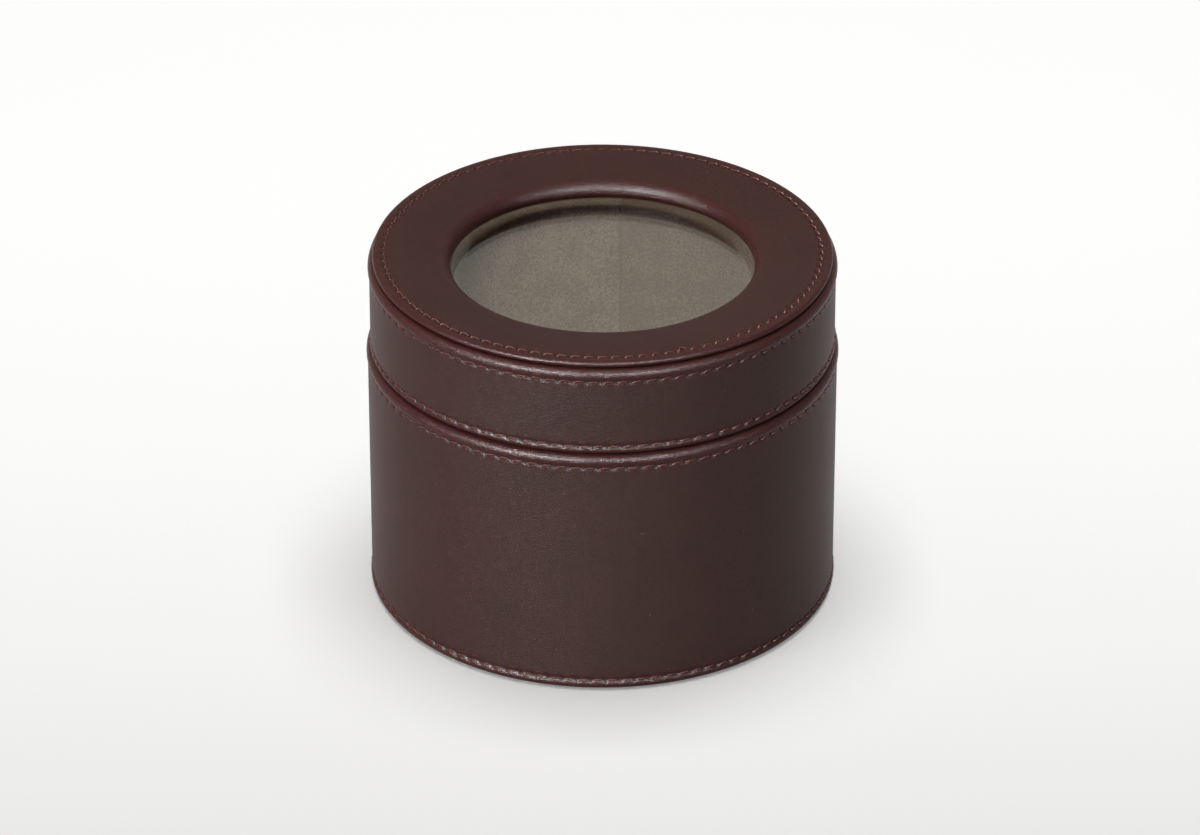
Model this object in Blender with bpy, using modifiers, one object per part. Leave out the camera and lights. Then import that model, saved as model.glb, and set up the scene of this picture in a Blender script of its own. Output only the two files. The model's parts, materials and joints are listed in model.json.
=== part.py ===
"""Round jewelry box with a lift-off lid and a round glass window.

The body is a board tube on a round board, covered in leather and lined in suede. An inner neck
sleeve rises above the body's shoulder and guides the lid. The lid is a board hoop and a ring-shaped
top board, covered in leather. Its padded top ring is one piece of leather over foam: the rim is
folded double and sewn, and the inner edge rolls down over the pane and tucks under the top board.

Lengths are in metres, +Z is up, and the origin is the centre of the underside. Every piece is turned
about the Z axis, so each one is drawn as a section of (radius, height) points.
"""

import math

import bmesh
import bpy

MM = 0.001

# Joins and running clearances
GLUE_LINE = 0.3 * MM  # between any two pieces that touch
NECK_CLEARANCE = 0.4 * MM  # between the neck and the lid's inner lining, on the radius
CEILING_CLEARANCE = 1.7 * MM  # from the neck's top edge up to the lid's ceiling
BUTT_SEAM = 0.3 * MM  # between the two ends of a strip that is wrapped round
LEATHER_SEAM_AZIMUTH = 90.0  # degrees from +X, at the back of the box
LINING_SEAM_AZIMUTH = 85.0  # degrees from +X, just right of the back, seen from the front

# Sheet materials
LEATHER = 0.9 * MM
TURNED_LEATHER = 0.8 * MM  # pared thinner where an edge is folded or turned under
WALL_SUEDE = 0.6 * MM
NECK_SUEDE = 0.5 * MM
LID_SUEDE = 0.5 * MM
CEILING_SUEDE = 0.6 * MM
FLOOR_SUEDE = 0.6 * MM
FELT = 1.1 * MM
PANE = 2.0 * MM
WALL_BOARD = 3.4 * MM
NECK_BOARD = 1.4 * MM
BASE_BOARD = 3.0 * MM
HOOP_BOARD = 1.8 * MM
TOP_BOARD = 1.4 * MM

# Body
BASE_RADIUS = 60.7 * MM
SHOULDER_HEIGHT = 69.0 * MM
NECK_RISE = 15.0 * MM  # the neck's top edge above the shoulder
NECK_TUCK = 6.0 * MM  # how far the neck's outer suede goes down behind the shoulder
FOOT_TURN_IN = 8.0 * MM  # width of the leather that is turned under the box
FLOOR_EDGE = 2.9 * MM  # height of the floor pad at its edge
FLOOR_CROWN = 0.8 * MM  # how much higher it is at its centre
FLOOR_FOAM_BEND = 0.3 * MM  # rounding of the foam's edge, which the suede follows

# Lid
LID_TURN_IN = 4.2 * MM  # height of the leather that is turned up inside the lid
LIP_WIDTH = 3.3 * MM  # width of the side leather that is turned in over the top board
RIM_SETBACK = 0.8 * MM  # from the lid's side in to the top ring's rim
HEM_WIDTH = 4.7 * MM  # width of the top ring's folded hem
RIM_SEAM = 3.0 * MM  # from the rim in to its row of stitches
TOP_RING_WIDTH = 20.2 * MM  # from the rim in to the window, at the roll's narrowest place
PANE_LEDGE = 5.0 * MM  # how far the pane reaches under the roll
PANE_CHAMFER = 0.2 * MM
CEILING_SETBACK = 3.2 * MM  # from the window out to the ceiling lining's cut edge
FOAM_ROLL = 1.8 * MM  # rounding of the foam's inner edge
TUCK_BEND = 1.1 * MM  # inside bend where the leather tucks under the top board
PAD_SLOPE = 8.0  # degrees by which the pad rises away from the roll

# Beads: the rounded, slightly proud edges that the stitching leaves on the leather
SHOULDER_PROUD = 0.35 * MM
SHOULDER_SEAM = 3.4 * MM  # from the edge to its row of stitches
FOOT_PROUD = 0.3 * MM
FOOT_SEAM = 2.7 * MM
LID_PROUD = 0.4 * MM
LID_SEAM = 3.3 * MM
LID_BEAD_RISE = 0.6 * MM  # the lid's bead above the leather that is turned in behind it
MOUTH_PROUD = 0.2 * MM
MOUTH_SEAM = 2.2 * MM
BEAD_TO_THREAD = 0.4 * MM  # from the end of a bead's bend to its row of stitches
BEAD_WRAP = 35.0  # degrees that a bend goes past its widest place
SEAM_DENT = 0.15 * MM  # how deep the thread pulls the leather in
SEAM_HALF_WIDTH = 0.8 * MM

# Fineness of the facets
ROUND_STEPS = 48
BEND_STEPS = 4  # on a leather edge that shows
CORNER_STEPS = 2  # on a small or hidden corner
SHOWN_PAD_STEPS = (6, 4)  # round the roll, and across the pad
HIDDEN_PAD_STEPS = (3, 3)
CROWN_STEPS = 3
SMOOTH_ANGLE = 35.0
MERGE_DISTANCE = 0.01 * MM

# Radii of the body, from the leather inwards
wall_leather_inside = BASE_RADIUS - LEATHER
wall_board_outside = wall_leather_inside - GLUE_LINE
wall_board_inside = wall_board_outside - WALL_BOARD
neck_suede_outside = wall_board_inside - GLUE_LINE
neck_suede_inside = neck_suede_outside - NECK_SUEDE
neck_board_outside = neck_suede_inside - GLUE_LINE
neck_board_inside = neck_board_outside - NECK_BOARD
wall_suede_outside = neck_board_inside - GLUE_LINE
wall_suede_inside = wall_suede_outside - WALL_SUEDE
foot_turn_inside = BASE_RADIUS - FOOT_TURN_IN

# Heights of the body, from the ground up
foot_leather_bottom = FELT - TURNED_LEATHER
base_board_bottom = FELT + GLUE_LINE
base_board_top = base_board_bottom + BASE_BOARD
inside_bottom = base_board_top + GLUE_LINE
shoulder_leather_bottom = SHOULDER_HEIGHT - LEATHER
wall_board_top = shoulder_leather_bottom - GLUE_LINE
neck_top = SHOULDER_HEIGHT + NECK_RISE
neck_board_top = neck_top - NECK_SUEDE - GLUE_LINE

# Radii of the lid, from the neck outwards
lid_suede_inside = neck_suede_outside + NECK_CLEARANCE
lid_suede_outside = lid_suede_inside + LID_SUEDE
hoop_board_inside = lid_suede_outside + GLUE_LINE
hoop_board_outside = hoop_board_inside + HOOP_BOARD
hoop_leather_inside = hoop_board_outside + GLUE_LINE
lid_radius = hoop_leather_inside + LEATHER
ceiling_outside = lid_suede_inside - GLUE_LINE
rim_radius = lid_radius - RIM_SETBACK
hem_inside = rim_radius - HEM_WIDTH
lip_inside = hoop_board_outside - LIP_WIDTH
window_radius = rim_radius - TOP_RING_WIDTH
pane_radius = window_radius + PANE_LEDGE
top_board_inside = pane_radius + GLUE_LINE
leather_roll = LEATHER + GLUE_LINE + FOAM_ROLL
roll_centre_radius = window_radius + leather_roll

# Heights of the lid, from its mouth up
lid_bottom = SHOULDER_HEIGHT + GLUE_LINE
hoop_board_bottom = lid_bottom + LEATHER + GLUE_LINE
lid_turn_top = lid_bottom + LID_TURN_IN
ceiling_bottom = neck_top + CEILING_CLEARANCE
pane_bottom = ceiling_bottom + CEILING_SUEDE + GLUE_LINE
pane_top = pane_bottom + PANE
tuck_bottom = pane_top + GLUE_LINE
tuck_top = tuck_bottom + LEATHER
top_board_bottom = tuck_top + GLUE_LINE
top_board_top = top_board_bottom + TOP_BOARD
lip_bottom = top_board_top + GLUE_LINE
lip_top = lip_bottom + LEATHER
lid_bead_top = lip_top + LID_BEAD_RISE
hem_bottom = lid_bead_top + GLUE_LINE
rim_top = hem_bottom + 2 * TURNED_LEATHER
roll_centre_height = tuck_top + TUCK_BEND


def clear_scene():
    """Remove whatever objects the file holds."""
    for old in list(bpy.data.objects):
        bpy.data.objects.remove(old, do_unlink=True)


def new_collection(name):
    collection = bpy.data.collections.new(name)
    bpy.context.scene.collection.children.link(collection)
    return collection


def linear(hex_colour):
    """Turn an sRGB hex colour into the linear values that a shader takes."""
    channels = [int(hex_colour[i : i + 2], 16) / 255 for i in (1, 3, 5)]
    return [c / 12.92 if c <= 0.04045 else ((c + 0.055) / 1.055) ** 2.4 for c in channels] + [1.0]


def new_material(name, hex_colour, roughness, transmission=0.0):
    material = bpy.data.materials.new(name)
    material.use_nodes = True
    shader = material.node_tree.nodes["Principled BSDF"]
    shader.inputs["Base Color"].default_value = linear(hex_colour)
    shader.inputs["Roughness"].default_value = roughness
    shader.inputs["Metallic"].default_value = 0.0
    shader.inputs["Transmission Weight"].default_value = transmission
    material.diffuse_color = linear(hex_colour)
    return material


def arc(centre, radius, start, end, steps=BEND_STEPS):
    """Points on a circle round centre, from the angle start to end in degrees."""
    points = []
    for i in range(steps + 1):
        angle = math.radians(start + (end - start) * i / steps)
        points.append((centre[0] + radius * math.cos(angle), centre[1] + radius * math.sin(angle)))
    return points


def bead_bend(seam):
    """Radius of the bead that fills the leather between its edge and its row of stitches."""
    return (seam - BEAD_TO_THREAD) / (1 + math.sin(math.radians(BEAD_WRAP)))


def sewn_edge(radius, edge, up, proud, seam):
    """Section of a sewn leather edge, from the edge to the plain side.

    The edge bends round proud of the side, dips where the thread pulls it in, and runs out to the
    side. up is +1 for an edge at the top and -1 for one at the bottom.
    """
    bend = bead_bend(seam)
    centre = (radius + proud - bend, edge - up * bend)
    points = arc(centre, bend, up * 90, -up * BEAD_WRAP)
    points.append((radius - SEAM_DENT, edge - up * seam))
    points.append((radius, edge - up * (seam + SEAM_HALF_WIDTH)))
    return points


def pad_height(radius, depth):
    """Height of the top ring's padded face at a radius, depth below its surface.

    A cubic curve leaves the roll at the pad's slope and is level again at the rim's stitches.
    """
    slope = math.tan(math.radians(PAD_SLOPE))
    angle = math.radians(90 + PAD_SLOPE)
    start_radius = roll_centre_radius + (leather_roll - depth) * math.cos(angle)
    start_height = roll_centre_height + (leather_roll - depth) * math.sin(angle)
    end_radius = rim_radius - RIM_SEAM
    span = end_radius - start_radius
    t = (radius - start_radius) / span
    rise = rim_top - depth - start_height
    return start_height + (3 * t**2 - 2 * t**3) * rise + (t**3 - 2 * t**2 + t) * span * slope


def pad_section(depth, end_radius, fineness):
    """Section of the padded face from the roll's narrowest place out to end_radius."""
    roll_steps, pad_steps = fineness
    roll_end = 90 + PAD_SLOPE
    centre = (roll_centre_radius, roll_centre_height)
    points = arc(centre, leather_roll - depth, 180, roll_end, roll_steps)
    start_radius = points[-1][0]
    for i in range(1, pad_steps + 1):
        radius = start_radius + (end_radius - start_radius) * i / pad_steps
        points.append((radius, pad_height(radius, depth)))
    return points


def box_section(inside, outside, bottom, top):
    """Section of a plain ring, or of a disc when inside is 0."""
    return [(inside, top), (outside, top), (outside, bottom), (inside, bottom)]


def turned(name, section, material, parent, collection):
    """Turn a section about the Z axis into one closed solid.

    The section runs clockwise, so it goes down its outer side. It is a closed loop for a ring, and
    starts and ends on the axis for a disc.
    """
    seat = min(height for radius, height in section)
    verts = [(radius, 0.0, height - seat) for radius, height in section]
    edges = [(i, i + 1) for i in range(len(verts) - 1)]
    if section[0][0] > 0:
        edges.append((len(verts) - 1, 0))
    mesh = bpy.data.meshes.new(name)
    mesh.from_pydata(verts, edges, [])
    piece = bpy.data.objects.new(name, mesh)
    collection.objects.link(piece)
    piece.parent = parent
    piece.location.z = seat - parent.location.z
    screw = piece.modifiers.new("turn", "SCREW")
    screw.steps = ROUND_STEPS
    screw.render_steps = ROUND_STEPS
    screw.use_merge_vertices = True
    screw.merge_threshold = MERGE_DISTANCE
    screw.use_smooth_shade = True
    mesh.materials.append(material)
    return piece


def cut_butt_seam(piece, azimuth, cutters):
    """Part a wrapped strip where its two ends meet, with a thin upright cut at an azimuth."""
    length = BASE_RADIUS
    height = 2 * SHOULDER_HEIGHT
    mesh = bpy.data.meshes.new(piece.name + "_seam")
    shape = bmesh.new()
    bmesh.ops.create_cube(shape, size=1.0)
    bmesh.ops.scale(shape, vec=(length, BUTT_SEAM, height), verts=shape.verts)
    bmesh.ops.translate(shape, vec=(length, 0, 0), verts=shape.verts)
    shape.to_mesh(mesh)
    shape.free()
    cutter = bpy.data.objects.new(mesh.name, mesh)
    cutters.objects.link(cutter)
    cutter.location.z = SHOULDER_HEIGHT
    cutter.rotation_euler.z = math.radians(azimuth)
    cutter.hide_render = True
    cutter.display_type = "WIRE"
    cut = piece.modifiers.new("butt seam", "BOOLEAN")
    cut.operation = "DIFFERENCE"
    cut.solver = "EXACT"
    cut.object = cutter


def keep_shape(piece):
    """Make the shape that the modifiers give the piece's own mesh, shaded smooth between edges."""
    depsgraph = bpy.context.evaluated_depsgraph_get()
    mesh = bpy.data.meshes.new_from_object(piece.evaluated_get(depsgraph), depsgraph=depsgraph)
    piece.modifiers.clear()
    piece.data = mesh
    mesh.name = piece.name
    mesh.shade_smooth()
    mesh.set_sharp_from_angle(angle=math.radians(SMOOTH_ANGLE))


def wall_leather_section():
    """Leather of the body's wall: over the shoulder, down the side and in under the box."""
    shoulder = sewn_edge(BASE_RADIUS, SHOULDER_HEIGHT, 1, SHOULDER_PROUD, SHOULDER_SEAM)
    foot = sewn_edge(BASE_RADIUS, foot_leather_bottom, -1, FOOT_PROUD, FOOT_SEAM)
    inner = [
        (foot_turn_inside, foot_leather_bottom),
        (foot_turn_inside, FELT),
        (wall_leather_inside, FELT),
        (wall_leather_inside, shoulder_leather_bottom),
        (wall_board_inside, shoulder_leather_bottom),
        (wall_board_inside, SHOULDER_HEIGHT),
    ]
    return shoulder + foot[::-1] + inner


def wall_lining_section():
    """Suede of the inside wall, which goes over the neck's top edge and down its outer side."""
    bend = NECK_SUEDE + GLUE_LINE
    outer_corner = arc((neck_suede_outside - bend, neck_top - bend), bend, 90, 0, CORNER_STEPS)
    inner_corner = arc((wall_suede_inside + bend, neck_top - bend), bend, 180, 90, CORNER_STEPS)
    tuck_end = SHOULDER_HEIGHT - NECK_TUCK
    under = [
        (neck_suede_outside, tuck_end),
        (neck_suede_inside, tuck_end),
        (neck_suede_inside, neck_top - NECK_SUEDE),
        (wall_suede_outside, neck_top - NECK_SUEDE),
        (wall_suede_outside, inside_bottom),
        (wall_suede_inside, inside_bottom),
    ]
    return outer_corner + under + inner_corner


def floor_section(depth, bottom):
    """Section of the crowned floor pad, depth below its surface, down to bottom."""
    radius = wall_suede_inside - GLUE_LINE - depth
    edge = inside_bottom + FLOOR_EDGE - depth
    bend = FLOOR_FOAM_BEND + GLUE_LINE + FLOOR_SUEDE - depth
    flat = radius - bend
    crown = []
    for i in range(CROWN_STEPS):
        share = i / CROWN_STEPS
        crown.append((flat * share, edge + FLOOR_CROWN * math.cos(share * math.pi / 2)))
    return crown + arc((flat, edge - bend), bend, 90, 0, CORNER_STEPS) + [(radius, bottom)]


def lid_hoop_leather_section():
    """Leather of the lid's side: in over the top board, down the side and up inside the mouth."""
    top = sewn_edge(lid_radius, lid_bead_top, 1, LID_PROUD, LID_SEAM)
    mouth = sewn_edge(lid_radius, lid_bottom, -1, MOUTH_PROUD, MOUTH_SEAM)
    bend = bead_bend(LID_SEAM)
    centre = (lid_radius + LID_PROUD - bend, lid_bead_top - bend)
    fall = math.degrees(math.acos(1 - LID_BEAD_RISE / bend))
    behind = arc(centre, bend, 90 + fall, 90, CORNER_STEPS)[:-1]
    inner = [
        (lid_suede_inside, lid_bottom),
        (lid_suede_inside, lid_turn_top),
        (lid_suede_outside, lid_turn_top),
        (lid_suede_outside, lid_bottom + LEATHER),
        (hoop_leather_inside, lid_bottom + LEATHER),
        (hoop_leather_inside, lip_bottom),
        (lip_inside, lip_bottom),
        (lip_inside, lip_top),
    ]
    return behind + top + mouth[::-1] + inner


def lid_top_leather_section():
    """Leather of the top ring: up the roll, over the pad, round the hem and back under itself."""
    seam_radius = rim_radius - RIM_SEAM
    face = pad_section(0, seam_radius - SEAM_HALF_WIDTH, SHOWN_PAD_STEPS)
    seam = [(seam_radius, rim_top - SEAM_DENT), (seam_radius + SEAM_HALF_WIDTH, rim_top)]
    rim_centre = (rim_radius - TURNED_LEATHER, hem_bottom + TURNED_LEATHER)
    rim = arc(rim_centre, TURNED_LEATHER, 90, -90)
    under = [(hem_inside, hem_bottom)] + pad_section(LEATHER, hem_inside, HIDDEN_PAD_STEPS)[::-1]
    outer_bend = LEATHER + TUCK_BEND
    tuck_centre = (window_radius + outer_bend, roll_centre_height)
    tuck = arc(tuck_centre, TUCK_BEND, 180, 270, CORNER_STEPS)[1:]
    tuck += [(pane_radius, tuck_top), (pane_radius, tuck_bottom)]
    tuck += arc(tuck_centre, outer_bend, 270, 180, CORNER_STEPS + 1)[:-1]
    return face + seam + rim + under + tuck


def lid_top_foam_section():
    """Soft ring under the top leather: a round inner edge, and a pad that lies on the top board."""
    outside = min(lip_inside, hem_inside) - GLUE_LINE
    face = pad_section(LEATHER + GLUE_LINE, outside, HIDDEN_PAD_STEPS)
    under = [
        (outside, lip_bottom),
        (pane_radius, lip_bottom),
        (pane_radius, top_board_bottom),
    ]
    tuck_centre = (window_radius + LEATHER + TUCK_BEND, roll_centre_height)
    return face + under + arc(tuck_centre, TUCK_BEND - GLUE_LINE, 270, 180, CORNER_STEPS)[:-1]


def pane_section():
    edge = pane_radius - PANE_CHAMFER
    return [
        (0.0, pane_top),
        (edge, pane_top),
        (pane_radius, pane_top - PANE_CHAMFER),
        (pane_radius, pane_bottom + PANE_CHAMFER),
        (edge, pane_bottom),
        (0.0, pane_bottom),
    ]


def build():
    clear_scene()
    parts = new_collection("round_jewelry_box")
    cutters = new_collection("cutters")

    leather = new_material("dark_brown_leather", "#43302B", 0.42)
    suede = new_material("taupe_suede", "#6A5D52", 0.95)
    board = new_material("grey_board", "#8C8478", 0.9)
    foam = new_material("pale_foam", "#CFC8B8", 0.95)
    felt = new_material("dark_felt", "#2B211D", 1.0)
    glass = new_material("clear_glass", "#F4F7F6", 0.02, transmission=1.0)

    body = bpy.data.objects.new("body_frame", None)
    lid = bpy.data.objects.new("lid_lift_axis", None)
    lid.location.z = lid_bottom
    for empty in (body, lid):
        parts.objects.link(empty)

    floor_top = floor_section(0, inside_bottom)
    floor_under = floor_section(FLOOR_SUEDE, inside_bottom)
    foam_face = floor_section(FLOOR_SUEDE + GLUE_LINE, inside_bottom)

    body_pieces = [
        ("underside_felt", box_section(0.0, foot_turn_inside - GLUE_LINE, 0.0, FELT), felt),
        (
            "base_board",
            box_section(0.0, wall_board_inside - GLUE_LINE, base_board_bottom, base_board_top),
            board,
        ),
        (
            "wall_board",
            box_section(wall_board_inside, wall_board_outside, base_board_bottom, wall_board_top),
            board,
        ),
        ("wall_leather", wall_leather_section(), leather),
        (
            "neck_sleeve",
            box_section(neck_board_inside, neck_board_outside, inside_bottom, neck_board_top),
            board,
        ),
        ("wall_lining", wall_lining_section(), suede),
        ("floor_foam", foam_face + [(0.0, inside_bottom)], foam),
        ("floor_suede", floor_top + floor_under[::-1], suede),
    ]
    lid_pieces = [
        (
            "lid_hoop_board",
            box_section(
                hoop_board_inside,
                hoop_board_outside,
                hoop_board_bottom,
                top_board_bottom - GLUE_LINE,
            ),
            board,
        ),
        ("lid_hoop_leather", lid_hoop_leather_section(), leather),
        (
            "lid_side_lining",
            box_section(
                lid_suede_inside,
                lid_suede_outside,
                lid_turn_top + GLUE_LINE,
                top_board_bottom - GLUE_LINE,
            ),
            suede,
        ),
        (
            "lid_top_board",
            box_section(top_board_inside, hoop_board_outside, top_board_bottom, top_board_top),
            board,
        ),
        ("lid_top_foam", lid_top_foam_section(), foam),
        ("lid_top_leather", lid_top_leather_section(), leather),
        ("window_glass", pane_section(), glass),
        (
            "glass_spacer_ring",
            box_section(top_board_inside, ceiling_outside, pane_bottom, top_board_bottom - GLUE_LINE),
            board,
        ),
        (
            "lid_ceiling_lining",
            box_section(
                window_radius + CEILING_SETBACK,
                ceiling_outside,
                ceiling_bottom,
                ceiling_bottom + CEILING_SUEDE,
            ),
            suede,
        ),
    ]
    pieces = {}
    for name, section, material in body_pieces:
        pieces[name] = turned(name, section, material, body, parts)
    for name, section, material in lid_pieces:
        pieces[name] = turned(name, section, material, lid, parts)

    cut_butt_seam(pieces["wall_leather"], LEATHER_SEAM_AZIMUTH, cutters)
    cut_butt_seam(pieces["lid_hoop_leather"], LEATHER_SEAM_AZIMUTH, cutters)
    cut_butt_seam(pieces["wall_lining"], LINING_SEAM_AZIMUTH, cutters)
    cut_butt_seam(pieces["lid_side_lining"], LINING_SEAM_AZIMUTH, cutters)
    for piece in pieces.values():
        keep_shape(piece)


build()
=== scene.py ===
"""Looks of the round jewelry box: leather, stitching, suede, glass and a pale studio.

Every new piece is worked out with numpy. A turned piece is an outline of (radius, height) points
carried round the box's axis, pushed in or out along the outline's normal where thread, seams and
stretch shape the leather. A row of stitches is one short tube for each stitch, set round the row.
Lengths are in metres, +Z is up, and -Y is the front as photographed.
"""

import functools
import json
import math

import bpy
import numpy as np
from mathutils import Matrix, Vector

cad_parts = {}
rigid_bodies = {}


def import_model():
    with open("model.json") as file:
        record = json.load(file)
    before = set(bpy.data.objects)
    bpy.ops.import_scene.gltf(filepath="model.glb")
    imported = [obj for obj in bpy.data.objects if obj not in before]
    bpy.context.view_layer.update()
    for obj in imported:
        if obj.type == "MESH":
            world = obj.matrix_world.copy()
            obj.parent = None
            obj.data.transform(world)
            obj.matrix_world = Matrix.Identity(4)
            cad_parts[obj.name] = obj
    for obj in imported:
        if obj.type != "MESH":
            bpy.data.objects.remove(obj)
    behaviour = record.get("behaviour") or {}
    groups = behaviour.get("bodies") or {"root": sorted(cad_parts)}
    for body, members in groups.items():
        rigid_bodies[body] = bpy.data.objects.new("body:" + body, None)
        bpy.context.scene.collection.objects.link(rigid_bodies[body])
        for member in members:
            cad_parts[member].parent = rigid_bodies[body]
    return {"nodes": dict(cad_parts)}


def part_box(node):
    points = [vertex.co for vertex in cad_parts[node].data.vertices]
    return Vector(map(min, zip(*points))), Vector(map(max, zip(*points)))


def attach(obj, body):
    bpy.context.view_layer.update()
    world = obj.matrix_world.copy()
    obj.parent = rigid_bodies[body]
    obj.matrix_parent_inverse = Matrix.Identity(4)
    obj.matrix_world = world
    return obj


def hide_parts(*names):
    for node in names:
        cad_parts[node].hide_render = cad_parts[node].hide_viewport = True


bl_info = {
    "name": "Round Jewelry Box",
    "version": (1, 0, 0),
    "blender": (4, 5, 0),
    "location": "3D View > Sidebar > Jewelry Box",
    "description": "Leather, stitching, suede and glass of a round jewelry box",
    "category": "Add Mesh",
}

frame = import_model()

MM = 0.001

# Sizes that the CAD solids have and the frame doesn't state
GLUE_LINE = 0.3 * MM
LEATHER = 0.9 * MM
TURNED_LEATHER = 0.8 * MM
NECK_SUEDE = 0.5 * MM
LID_SUEDE = 0.5 * MM
NECK_BOARD = 1.4 * MM
LID_TURN_IN = 4.2 * MM
LIP_WIDTH = 3.3 * MM
LID_BEAD_RISE = 0.6 * MM
HEM_WIDTH = 4.7 * MM
RIM_SEAM = 3.0 * MM
PANE_LEDGE = 5.0 * MM
PANE_CHAMFER = 0.2 * MM
CEILING_SETBACK = 3.2 * MM
FOAM_ROLL = 1.8 * MM
TUCK_BEND = 1.1 * MM
PAD_SLOPE = 8.0
SHOULDER_PROUD, SHOULDER_SEAM = 0.35 * MM, 3.4 * MM
FOOT_PROUD, FOOT_SEAM = 0.3 * MM, 2.7 * MM
LID_PROUD, LID_SEAM = 0.4 * MM, 3.3 * MM
MOUTH_PROUD, MOUTH_SEAM = 0.2 * MM, 2.2 * MM
BEAD_TO_THREAD = 0.4 * MM
BEAD_WRAP = 35.0
SEAM_DENT = 0.15 * MM
SEAM_HALF_WIDTH = 0.8 * MM
FLOOR_EDGE_DROP = 0.8 * MM
FLOOR_BEND = 1.2 * MM
LEATHER_SEAM_AZIMUTH = 90.0
LINING_SEAM_AZIMUTH = 85.0
NECK_TUCK = 6.0 * MM

# Places read from the frame
wall_low, wall_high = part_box("wall_leather")
lining_low, lining_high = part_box("wall_lining")
hoop_low, hoop_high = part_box("lid_hoop_leather")
ring_low, ring_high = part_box("lid_top_leather")
pane_low, pane_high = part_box("window_glass")
ceiling_low, ceiling_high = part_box("lid_ceiling_lining")
side_lining_low, side_lining_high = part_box("lid_side_lining")
felt_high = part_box("underside_felt")[1]
floor_low, floor_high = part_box("floor_suede")
base_radius = wall_high.x - SHOULDER_PROUD
shoulder_height = wall_high.z
lid_radius = hoop_high.x - LID_PROUD
rim_radius = ring_high.x
window_radius = pane_high.x - PANE_LEDGE
leather_roll = LEATHER + GLUE_LINE + FOAM_ROLL
roll_centre = (window_radius + leather_roll, ring_low.z + LEATHER + TUCK_BEND)
inside_radius = floor_high.x + GLUE_LINE

# Fineness of the surfaces
SIDE_STITCHES = 102
RIM_STITCHES = 104
COLUMNS_PER_STITCH = 8
SMOOTH_COLUMNS = 256
EVEN_AZIMUTHS = np.linspace(0, 2 * math.pi, SMOOTH_COLUMNS, endpoint=False)
FINE_STEP = 0.28 * MM
PLAIN_STEP = 4.0 * MM
STITCH_RINGS = 9
THREAD_SIDES = 6
SHARP_ANGLE = 55.0
SEED = 7

# Small edges, needle holes, the leather round them, and the seams where strips meet
SMALL_ROUND = 0.3 * MM
CUT_BEVEL = 0.04 * MM
HOLE_REACH = 0.42 * MM  # from the middle of a needle hole to where the thread goes in
HOLE_LENGTH = 0.8 * MM
HOLE_WIDTH = 0.32 * MM
PULL_REACH = 1.1 * MM
TIGHT_BEND = 2.5 * MM  # leather curved to this radius or less gets more shine, creases and a painted redder tint
BUTT_WIDTH = 0.22 * MM
BUTT_DEPTH = 0.3 * MM
BUTT_COLUMNS = np.array((0.08, 0.18, 0.3, 0.48, 0.7)) * MM  # extra points each side of such a seam
THREAD_SINK = 0.4 * MM  # how far the ends of a stitch go down into the leather
STITCH_WANDER = 0.04 * MM  # how unevenly high the stitches of a row sit
SLACK_STITCH_AZIMUTH = -70.7  # one loose stitch on the top's rim
SLACK_RISE = 0.22 * MM
SLACK_SHIFT = 0.7 * MM
NAP_STEP = 0.35  # how much darker the nap lies just past the seam, where the strip's other end is
NAP_REACH = 1.2  # radians round the wall in which that fades
THREAD_PLIES = 3
PLY_TURN = 1.8 * MM  # thread in which the plies go once round

# Room, floor and lamps
ROOM_LEVEL = 0.13
ROOM_SHOWN = 0.54
CEILING_SHOWN = 0.25
FLOOR_HALF = 3.0
FLOOR_FAR = 0.33
FLOOR_FALL = 0.165
FLOOR_NEAR_SHARE = 1.35
FLOOR_NEAR_Y, FLOOR_FAR_Y = -0.25, 0.245
LAMP_DISTANCE = 2.0
STAGE_MIDDLE = (0.0, 0.0, 0.06)
INSIDE_PIECES = ("inside_wall_suede", "ceiling_suede_ring", "floor_cushion")
CAMERA_SIDE = -0.66 * MM


def linear(hex_colour):
    """Linear red, green, blue and alpha of an sRGB hex colour."""
    channels = np.array([int(hex_colour[i : i + 2], 16) for i in (1, 3, 5)]) / 255
    low, high = channels / 12.92, ((channels + 0.055) / 1.055) ** 2.4
    return (*np.where(channels <= 0.04045, low, high).tolist(), 1.0)


def length_setting(name, value, description):
    """A length that the user can change, in metres."""
    return bpy.props.FloatProperty(
        name=name, description=description, default=value, min=0.0, unit="LENGTH", precision=5
    )


def colour_setting(name, hex_colour, description):
    """A colour that the user can change, with an sRGB hex value as its default."""
    return bpy.props.FloatVectorProperty(
        name=name,
        description=description,
        default=linear(hex_colour),
        size=4,
        min=0.0,
        max=1.0,
        subtype="COLOR",
    )


class LeatherSettings(bpy.types.PropertyGroup):
    """Colours and grain of the leather covers."""

    colour: colour_setting("Leather", "#3C221D", "Colour of the plain leather")
    deep: colour_setting("Creases", "#1E0E0B", "Colour in the creases of the grain")
    # Painted reflection: tight bends are painted toward this redder colour, for the darker reflections
    # that they catch
    bend_reflection_tint: colour_setting("Bent leather", "#461E1F", "Redder colour of leather stretched round a bend")
    dust: colour_setting("Dust", "#6F645F", "Colour of the few specks of dust")
    # Painted shade: the needle holes are painted toward this colour
    hole_shade: colour_setting("Needle holes", "#0C0403", "Colour inside the needle holes")
    grain: length_setting("Grain", 0.6 * MM, "Width of one pebble of the grain")
    hole_depth: length_setting("Hole depth", 0.32 * MM, "Depth of the pit at each needle hole")
    puff: length_setting("Puff", 0.07 * MM, "How far the leather swells between needle holes")
    ripple: length_setting("Ripple", 0.05 * MM, "Height of the slow unevenness of the glued leather")


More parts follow.
